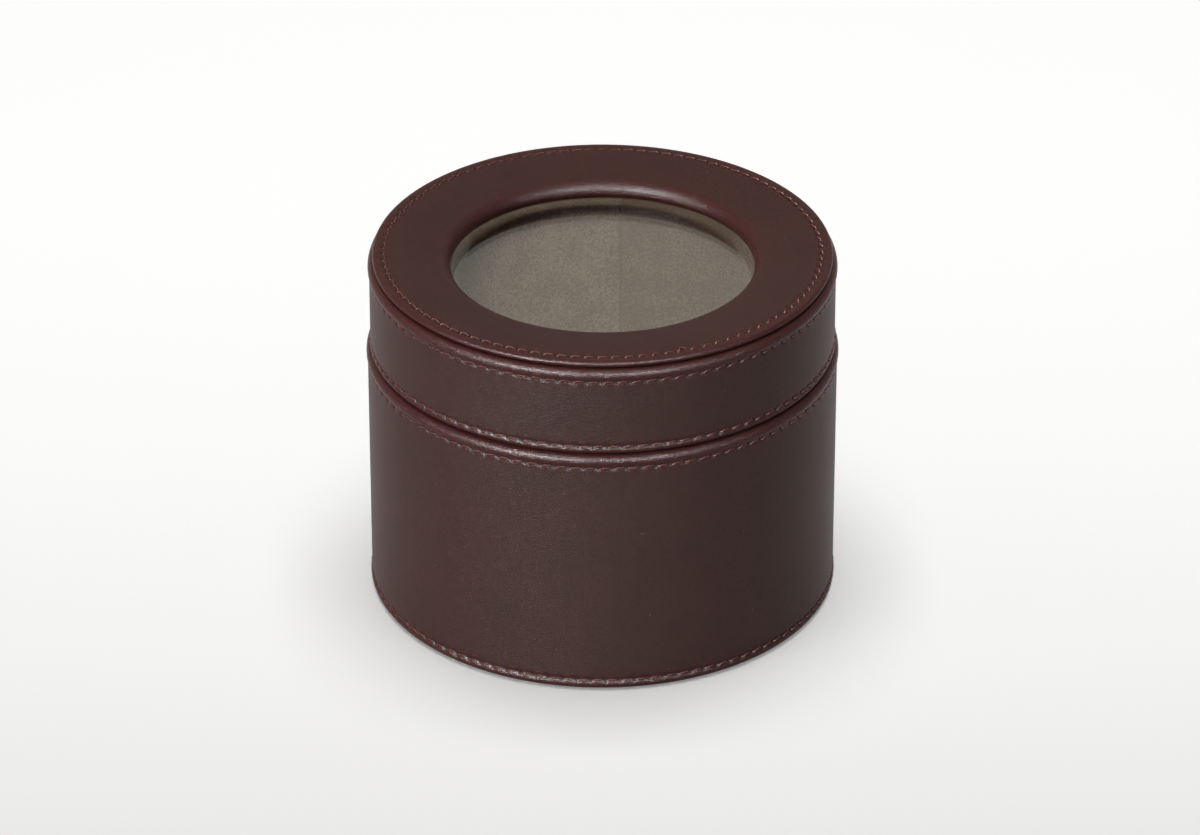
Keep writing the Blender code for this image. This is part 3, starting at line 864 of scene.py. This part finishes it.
def stitch_row(seam, material):
    """A row of machine stitches, each one a short tube from one needle hole to the next.

    With t from 0 to 1, the centre line of a stitch goes from the lower end of one slanted hole to
    the upper end of the next. Across the row it starts low and rises with a smooth step of t. Off
    the leather it comes up steeply, stands highest a quarter of the way along and sinks slowly.
    The tube is a circle carried along that line, squared to it by the line's finite differences.
    """
    thread = settings("thread")
    rng = np.random.default_rng(SEED + seam.count + int(1000 * seam.phase))
    pitch = seam.pitch()
    t = (0.5 - 0.5 * np.cos(np.linspace(0, math.pi, STITCH_RINGS)))[None, :]
    vary = rng.normal(0.0, 1.0, (4, seam.count, 1))
    slant = thread.slant * (1 + 0.18 * vary[0])
    u = (t - 0.5) * pitch + HOLE_REACH * (1 - 2 * t)
    v = slant * (smooth_step((t - 0.05) / 0.33) - 0.6 - 0.12 * t) + STITCH_WANDER * vary[1]
    arch = 1 - np.abs(2 * t - 1) ** 6
    w = thread.rise * (1 + 0.12 * vary[2]) * arch * (1.3 - 0.8 * t) - THREAD_SINK * (1 - arch)
    middle = (np.arange(seam.count) + 0.5 + seam.phase) * 2 * math.pi / seam.count
    if seam is rim_seam:
        turn = middle - math.radians(SLACK_STITCH_AZIMUTH)
        slack = (np.abs((turn + math.pi) % (2 * math.pi) - math.pi) < math.pi / seam.count)[:, None]
        w = w + slack * SLACK_RISE * np.sin(math.pi * t)
        v = v + slack * SLACK_SHIFT * np.sin(math.pi * t)

    section = seam.point + v[..., None] * seam.up + w[..., None] * seam.out
    azimuth = middle[:, None] + u / seam.point[0]
    turn_out = np.stack([np.cos(azimuth), np.sin(azimuth)], axis=-1)
    line = np.concatenate([section[..., :1] * turn_out, section[..., 1:]], axis=-1)
    forward = np.gradient(line, axis=1)
    forward /= np.linalg.norm(forward, axis=-1, keepdims=True)
    out = np.concatenate([seam.out[0] * turn_out, np.full((*azimuth.shape, 1), seam.out[1])], axis=-1)
    side = np.cross(forward, out)
    side /= np.linalg.norm(side, axis=-1, keepdims=True)
    out = np.cross(side, forward)
    angle = np.linspace(0, 2 * math.pi, THREAD_SIDES, endpoint=False)
    thick = thread.diameter / 2 * (1 - 0.25 * np.abs(2 * t - 1) ** 4)
    thick = np.broadcast_to(thick, azimuth.shape)[..., None, None]
    circle = np.cos(angle)[:, None] * out[..., None, :] + np.sin(angle)[:, None] * side[..., None, :]
    points = line[..., None, :] + thick * circle

    stitch, ring, point = np.meshgrid(
        np.arange(seam.count), np.arange(STITCH_RINGS - 1), np.arange(THREAD_SIDES), indexing="ij"
    )
    index = np.arange(seam.count * STITCH_RINGS * THREAD_SIDES).reshape(points.shape[:3])
    after = (point + 1) % THREAD_SIDES
    corners = ((ring, point), (ring + 1, point), (ring + 1, after), (ring, after))
    quads = np.stack([index[stitch, i, j] for i, j in corners], axis=-1).reshape(-1, 4)
    caps = np.concatenate([index[:, 0, :], index[:, -1, ::-1]])
    mesh = bpy.data.meshes.new(seam.name)
    mesh.from_pydata(points.reshape(-1, 3).tolist(), [], quads.tolist() + caps.tolist())
    run = np.cumsum(np.linalg.norm(np.diff(line, axis=1, prepend=line[:, :1]), axis=-1), axis=1)
    start, end = run[stitch, ring], run[stitch, ring + 1]
    along = np.stack([start, end, end, start], axis=-1).reshape(-1, 4)
    around = np.stack([point, point, point + 1, point + 1], axis=-1).reshape(-1, 4) / THREAD_SIDES
    uv = np.zeros((len(mesh.loops), 2), np.float32)
    uv[: quads.size] = np.stack([along, around], axis=-1).reshape(-1, 2)
    mesh.uv_layers.new(name="thread").data.foreach_set("uv", uv.ravel())
    piece = finished_mesh(seam.name, mesh)
    return place(piece, material, seam.body, "thread")


class JEWELRYBOX_OT_stitches(bpy.types.Operator):
    """Sew the five rows of stitches"""

    bl_idname = "jewelry_box.stitches"
    bl_label = "Stitches"

    def execute(self, context):
        material = bonded_nylon_thread()
        for seam in (shoulder_seam, foot_seam, crown_seam, mouth_seam, rim_seam):
            stitch_row(seam, material)
        return {"FINISHED"}


def wall_lining_outline():
    """Suede from the floor up the inside wall, over the neck's top edge and down its outside."""
    outside, top = lining_high.x, lining_high.z
    bend = NECK_SUEDE + GLUE_LINE
    board_outside = outside - NECK_SUEDE
    board_inside = board_outside - 2 * GLUE_LINE - NECK_BOARD
    tuck_end = shoulder_height - NECK_TUCK
    return joined(
        arc((inside_radius + bend, top - bend), bend, 180, 90, 0.2 * MM),
        arc((outside - bend, top - bend), bend, 90, 0, 0.2 * MM),
        path((outside, top - bend), (outside, tuck_end), step=2 * MM),
        path(
            (board_outside, tuck_end),
            (board_outside, top - NECK_SUEDE),
            (board_inside, top - NECK_SUEDE),
            (board_inside, lining_low.z),
        ),
        path((inside_radius, lining_low.z), (inside_radius, top - bend), step=2 * MM)[:-1],
    )


def suede_strip(name, outline, body, material, *nodes):
    """A suede lining whose ends meet in an upright butt seam, with the nap a little turned past it."""
    lining = settings("lining")
    radius = outline[:, 0].max()
    azimuths = round_azimuths(SMOOTH_COLUMNS, LINING_SEAM_AZIMUTH, radius)
    groove = butt_groove(azimuths, LINING_SEAM_AZIMUTH, radius, lining.seam_width, lining.seam_depth)
    past_seam = (math.radians(LINING_SEAM_AZIMUTH) - azimuths) % (2 * math.pi)
    nap = NAP_STEP * np.exp(-past_seam / NAP_REACH)
    piece = turned_piece(name, outline, azimuths, push=groove[:, None], marks={"nap": nap[:, None]})
    return place(piece, material, body, "suede", *nodes)


class JEWELRYBOX_OT_linings(bpy.types.Operator):
    """Line the wall, the lid's side and the lid's ceiling with suede"""

    bl_idname = "jewelry_box.linings"
    bl_label = "Suede linings"

    def execute(self, context):
        material = brushed_microsuede()
        suede_strip("inside_wall_suede", wall_lining_outline(), "body", material, "wall_lining")
        inside, outside = side_lining_high.x - LID_SUEDE, side_lining_high.x
        bottom, top = side_lining_low.z, side_lining_high.z
        corners = ((inside, top), (outside, top), (outside, bottom), (inside, bottom), (inside, top))
        side_outline = path(*corners, step=2 * MM)[:-1]
        suede_strip("lid_side_suede", side_outline, "lid", material, "lid_side_lining")

        inside, outside, bevel = window_radius + CEILING_SETBACK, ceiling_high.x, CUT_BEVEL
        bottom, top = ceiling_low.z, ceiling_high.z
        outline = joined(
            path((inside + bevel, top), (outside, top), (outside, bottom), step=2 * MM),
            path((outside, bottom), (inside + bevel, bottom), step=2 * MM),
            path((inside, bottom + bevel), (inside, top - bevel)),
        )
        # Painted shade: the top face, under the leather roll, is painted near black
        cut, roll_shade = outline[:, 0] < inside + bevel / 2, outline[:, 1] > top - bevel / 2
        marks = {"cut": cut[None, :], "roll_shade": roll_shade[None, :]}
        ceiling = turned_piece("ceiling_suede_ring", outline, marks=marks)
        place(ceiling, material, "lid", "suede", "lid_ceiling_lining")
        return {"FINISHED"}


class JEWELRYBOX_OT_floor_cushion(bpy.types.Operator):
    """Lay the padded suede floor inside the box"""

    bl_idname = "jewelry_box.floor_cushion"
    bl_label = "Floor cushion"

    def execute(self, context):
        radius, bottom = floor_high.x, floor_low.z
        edge = floor_high.z - FLOOR_EDGE_DROP
        flat = radius - FLOOR_BEND
        reach = np.linspace(0, flat, 40)
        crown = np.stack([reach, edge + FLOOR_EDGE_DROP * np.cos(reach / flat * math.pi / 2)], axis=1)
        outline = joined(
            crown,
            arc((flat, edge - FLOOR_BEND), FLOOR_BEND, 90, 0, 0.3 * MM),
            path((radius, edge - FLOOR_BEND), (radius, bottom), (0.0, bottom), step=3 * MM),
        )
        material = bpy.data.materials["brushed_microsuede"]
        cushion = turned_piece("floor_cushion", outline, closed=False)
        place(cushion, material, "body", "suede", "floor_suede", "floor_foam")
        return {"FINISHED"}


class JEWELRYBOX_OT_window(bpy.types.Operator):
    """Set the round glass pane in the lid"""

    bl_idname = "jewelry_box.window"
    bl_label = "Window pane"

    def execute(self, context):
        radius, bottom, top = pane_high.x, pane_low.z, pane_high.z
        edge = radius - PANE_CHAMFER
        outline = path(
            (0.0, top),
            (edge, top),
            (radius, top - PANE_CHAMFER),
            (radius, bottom + PANE_CHAMFER),
            (edge, bottom),
            (0.0, bottom),
            step=8 * MM,
        )
        pane = turned_piece("window_pane", outline, closed=False)
        place(pane, float_glass(), "lid", "glass", "window_glass")
        return {"FINISHED"}


class JEWELRYBOX_OT_underside(bpy.types.Operator):
    """Cover the underside with felt"""

    bl_idname = "jewelry_box.underside"
    bl_label = "Underside felt"

    def execute(self, context):
        radius, top = felt_high.x, felt_high.z
        outline = path((0.0, top), (radius, top), (radius, 0.0), (0.0, 0.0), step=4 * MM)
        felt = turned_piece("underside_felt_disc", outline, closed=False)
        place(felt, needle_felt(), "body", "felt", "underside_felt")
        return {"FINISHED"}


class JEWELRYBOX_OT_boards(bpy.types.Operator):
    """Give the boards inside the walls their material"""

    bl_idname = "jewelry_box.boards"
    bl_label = "Boards"

    def execute(self, context):
        material = grey_chipboard()
        lid_boards = ("lid_hoop_board", "lid_top_board", "glass_spacer_ring")
        for name in ("base_board", "wall_board", "neck_sleeve", *lid_boards):
            board = frame["nodes"][name]
            board.data.materials.clear()
            board.data.materials.append(material)
        return {"FINISHED"}


def soft_lamp(
    name, azimuth, elevation, spread, level, linked, state="EXCLUDE", diffuse=True, colour="#FFFFFF"
):
    """A square lamp that faces the box.

    spread is half the angle that it fills as the box sees it. level is how bright it makes a white
    surface that faces it, with 1 for white: a square lamp of power P gives P / (pi distance)^2.
    It lights all but the linked objects, or only them where the state is INCLUDE.
    """
    lamp = bpy.data.lights.new(name, "AREA")
    lamp.shape = "SQUARE"
    lamp.size = 2 * LAMP_DISTANCE * math.tan(math.radians(spread))
    lamp.energy = level * (math.pi * LAMP_DISTANCE) ** 2
    lamp.color = linear(colour)[:3]
    holder = new_object(name, lamp)
    rise, turn = math.radians(elevation), math.radians(azimuth)
    away = np.array((math.cos(rise) * math.cos(turn), math.cos(rise) * math.sin(turn), math.sin(rise)))
    holder.location = np.array(STAGE_MIDDLE) + LAMP_DISTANCE * away
    holder.rotation_euler = (math.pi / 2 - rise, 0.0, turn + math.pi / 2)
    holder.visible_diffuse = diffuse
    holder.visible_transmission = False
    if linked:
        lit = bpy.data.collections.new(name + "_lights")
        for piece in linked:
            lit.objects.link(piece)
        for link in lit.collection_objects:
            link.light_linking.link_state = state
        holder.light_linking.receiver_collection = lit


def shown(add):
    """1 for what the camera, gloss and glass see, and 0 for light that falls on surfaces."""
    seen = add("LightPath", output="Is Camera Ray")
    rays = seen.node.outputs
    for kind in ("Is Glossy Ray", "Is Transmission Ray"):
        seen = add("Math", {0: seen, 1: rays[kind]}, operation="MAXIMUM")
    unlit = add("Math", {0: rays["Diffuse Depth"], 1: 0.5}, operation="LESS_THAN")
    return add("Math", {0: seen, 1: unlit}, operation="MULTIPLY")


def studio_world():
    """A room that is white low down and dim overhead.

    Gloss and glass show it at ROOM_SHOWN of white up to about 35 degrees above the floor, and less
    above that. It lights surfaces evenly, at ROOM_LEVEL.
    """
    world = bpy.data.worlds.new("pale_room")
    bpy.context.scene.world = world
    world.use_nodes = True
    add = functools.partial(add_node, world.node_tree)
    way = add("TexCoord", output="Generated")
    up = add("SeparateXYZ", {"Vector": way}, output="Z")
    wall = add(
        "MapRange",
        {"Value": up, "From Min": 0.5, "From Max": 0.8, "To Min": ROOM_SHOWN, "To Max": CEILING_SHOWN},
        interpolation_type="SMOOTHSTEP",
    )
    strength = add("MapRange", {"Value": shown(add), "To Min": ROOM_LEVEL, "To Max": wall})
    background = world.node_tree.nodes["Background"]
    set_inputs(background, {"Color": linear("#FFFFF1"), "Strength": strength})


def studio_floor():
    """A pale sheet that goes to white behind the box, as the paper of a photo table does.

    Its own white is added for what the camera, gloss and glass see: FLOOR_FAR behind the box, less
    FLOOR_FALL times the square of a share that grows toward the front. The lamps give the rest,
    with the box's shadow in it.
    """
    mesh = bpy.data.meshes.new("studio_floor")
    corners = [(x * FLOOR_HALF, y * FLOOR_HALF, 0.0) for x, y in ((-1, -1), (1, -1), (1, 1), (-1, 1))]
    mesh.from_pydata(corners, [], [(0, 1, 2, 3)])
    floor = new_object("studio_floor", mesh)
    material, add, shader = new_material("matt_backdrop_paper")
    where = add("TexCoord", output="Object")
    back = add("SeparateXYZ", {"Vector": where}, output="Y")
    near = add(
        "MapRange",
        {
            "Value": back,
            "From Min": FLOOR_NEAR_Y,
            "From Max": FLOOR_FAR_Y,
            "To Min": FLOOR_NEAR_SHARE,
            "To Max": 0.0,
        },
    )
    curve = add("Math", {0: near, 1: 2.0}, operation="POWER")
    white = add("Math", {0: curve, 1: -FLOOR_FALL, 2: FLOOR_FAR}, operation="MULTIPLY_ADD")
    set_inputs(shader, {"Base Color": settings("stage").floor})
    set_inputs(shader, {"Roughness": 0.9, "Specular IOR Level": 0.0})
    strength = add("Math", {0: white, 1: shown(add)}, operation="MULTIPLY")
    glow = add("Emission", {"Color": linear("#FFFFFF"), "Strength": strength})
    both = add("AddShader", {0: shader.outputs["BSDF"], 1: glow})
    set_inputs(material.node_tree.nodes["Material Output"], {"Surface": both})
    mesh.materials.append(material)
    return floor


class JEWELRYBOX_OT_stage(bpy.types.Operator):
    """Set up the pale floor, the soft lamps and the camera"""

    bl_idname = "jewelry_box.stage"
    bl_label = "Studio"

    def execute(self, context):
        stage = settings("stage")
        studio_world()
        floor = studio_floor()
        pane = [piece for piece in context.scene.objects if piece.name == "window_pane"]
        inside = [piece for piece in context.scene.objects if piece.name in INSIDE_PIECES]
        unlit = [floor, *pane, *inside]
        soft_lamp("overhead_softbox", 90, 88, 16, 0.6, pane)
        soft_lamp("left_softbox", -140, 26, 12, 0.8, unlit, colour="#FFF8EE")
        soft_lamp("front_fill", -62, 34, 15, 0.15, unlit)
        soft_lamp("floor_softbox", 90, 88, 16, 0.12, [floor], "INCLUDE")
        soft_lamp("left_sheen", -124, 24, 9, 9.0, unlit, diffuse=False)
        soft_lamp("right_sheen", -69, 30, 5, 4.3, unlit, diffuse=False)
        if inside:  # with nothing linked it would light everything
            soft_lamp("window_fill", -98, 46, 7, 0.92, inside, "INCLUDE")
        lens = bpy.data.cameras.new("photo_camera")
        lens.lens = stage.lens
        lens.sensor_width = 36.0
        lens.clip_start = 0.1
        lens.clip_end = 20.0
        camera = new_object("photo_camera", lens)
        camera.location = (CAMERA_SIDE, -stage.distance, stage.height)
        camera.rotation_euler = (math.pi / 2 - stage.tilt, 0.0, 0.0)
        context.scene.camera = camera
        context.scene.view_settings.view_transform = "Standard"
        return {"FINISHED"}


class JEWELRYBOX_PT_panel(bpy.types.Panel):
    """Sizes, colours and steps of the jewelry box"""

    bl_label = "Jewelry Box"
    bl_space_type = "VIEW_3D"
    bl_region_type = "UI"
    bl_category = "Jewelry Box"

    def draw(self, context):
        for group, kind in SETTINGS.items():
            column = self.layout.column()
            for name in kind.__annotations__:
                column.prop(settings(group), name)
        for operator in OPERATORS:
            self.layout.operator(operator.bl_idname)


SETTINGS = {
    "leather": LeatherSettings, "thread": ThreadSettings, "lining": LiningSettings, "stage": StageSettings
}
OPERATORS = (
    JEWELRYBOX_OT_leather,
    JEWELRYBOX_OT_stitches,
    JEWELRYBOX_OT_linings,
    JEWELRYBOX_OT_floor_cushion,
    JEWELRYBOX_OT_window,
    JEWELRYBOX_OT_underside,
    JEWELRYBOX_OT_boards,
    JEWELRYBOX_OT_stage,
)


def register():
    for kind in (*SETTINGS.values(), *OPERATORS, JEWELRYBOX_PT_panel):
        bpy.utils.register_class(kind)
    for group, kind in SETTINGS.items():
        setattr(bpy.types.Scene, "jewelry_box_" + group, bpy.props.PointerProperty(type=kind))


def unregister():
    for group in SETTINGS:
        delattr(bpy.types.Scene, "jewelry_box_" + group)
    for kind in (JEWELRYBOX_PT_panel, *reversed(OPERATORS), *reversed(SETTINGS.values())):
        bpy.utils.unregister_class(kind)


def main():
    """Make the whole box and its stage."""
    register()
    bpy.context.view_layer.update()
    for operator in OPERATORS:
        group, name = operator.bl_idname.split(".")
        getattr(getattr(bpy.ops, group), name)()


if __name__ == "__main__":
    main()
